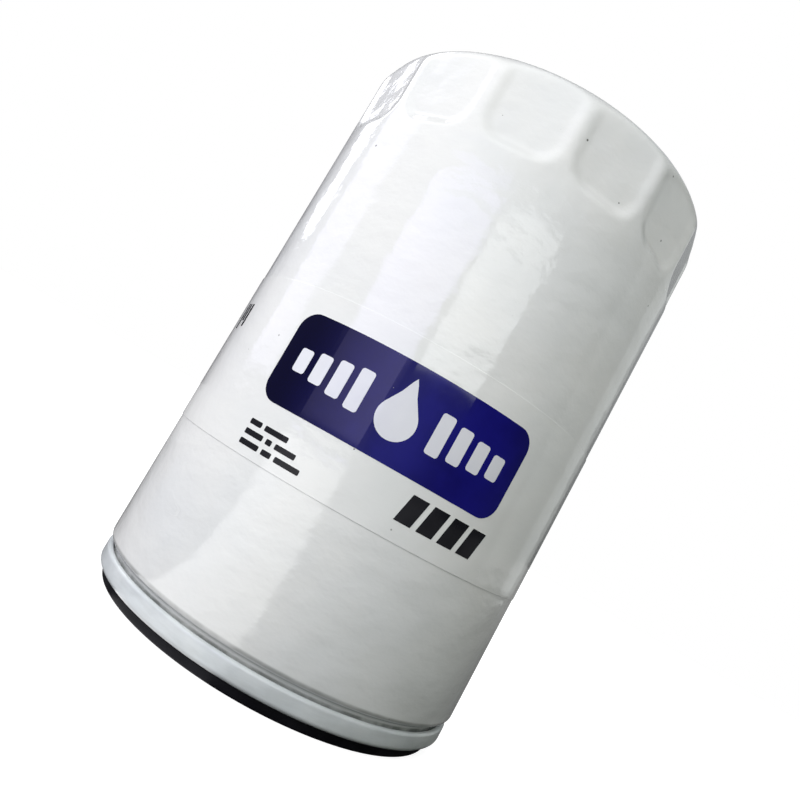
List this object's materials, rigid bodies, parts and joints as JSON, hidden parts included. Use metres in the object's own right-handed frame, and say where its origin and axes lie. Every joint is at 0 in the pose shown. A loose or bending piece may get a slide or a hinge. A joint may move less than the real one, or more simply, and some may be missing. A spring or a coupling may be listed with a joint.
{
  "type": "spin-on oil filter",
  "caption": "Spin-on oil filter canister with a fluted dome end, a folded seam, a sealing gasket and a threaded base, with pleated element, bypass valve and drain-back valve inside.",
  "frame": {"origin": "centre of the gasket's sealing face, the lowest point of the filter as it stands", "axes": "+Z along the can's axis from the gasket to the dome; -Y towards the middle of the label's printed panel; +X completes a right-handed frame"},
  "size_m": [0.0762, 0.0762, 0.117],
  "materials": {
    "can_enamel": "glossy white baked enamel",
    "lid_enamel": "glossy white lacquer, slightly bluish",
    "seam_compound": "dried sealing compound",
    "plate_steel": "pressed steel, zinc flashed",
    "gasket_rubber": "matt black nitrile rubber",
    "label_film": "clear glossy film over white, with printed panels",
    "valve_rubber": "matt silicone rubber",
    "cap_steel": "tinned sheet steel",
    "potting": "cured plastisol",
    "filter_paper": "resin-bonded filter paper",
    "tube_steel": "perforated sheet steel",
    "plunger_steel": "turned steel",
    "spring_steel": "oiled spring steel"
  },
  "bodies": {
    "housing": {"can": "can_enamel", "seaming_lid": "lid_enamel", "seam_compound": "seam_compound", "base_plate": "plate_steel", "gasket": "gasket_rubber", "label_film": "label_film", "drainback_valve": "valve_rubber", "lower_end_cap": "cap_steel", "lower_potting": "potting", "pleated_media": "filter_paper", "media_clip": "cap_steel", "center_tube": "tube_steel", "upper_potting": "potting", "upper_end_cap": "cap_steel", "bypass_cage": "tube_steel", "bypass_spring": "spring_steel", "retaining_spring": "spring_steel"},
    "bypass_valve": {"bypass_plunger": "plunger_steel", "bypass_seal": "gasket_rubber"},
    "drainback_lip": {"drainback_skirt": "valve_rubber"}
  },
  "joints": [
    {"name": "bypass_opening", "type": "slide", "parent": "housing", "child": "bypass_valve", "axis": [0, 0, -1], "range_m": [0, 0.0035], "stiffness_N_per_m": 1100, "springref_m": -0.012, "deforming": ["bypass_spring"]},
    {"name": "drainback_lift", "type": "slide", "parent": "housing", "child": "drainback_lip", "axis": [0, 0, 1], "range_m": [0, 0.0015], "stiffness_N_per_m": 500, "springref_m": -0.001}
  ]
}
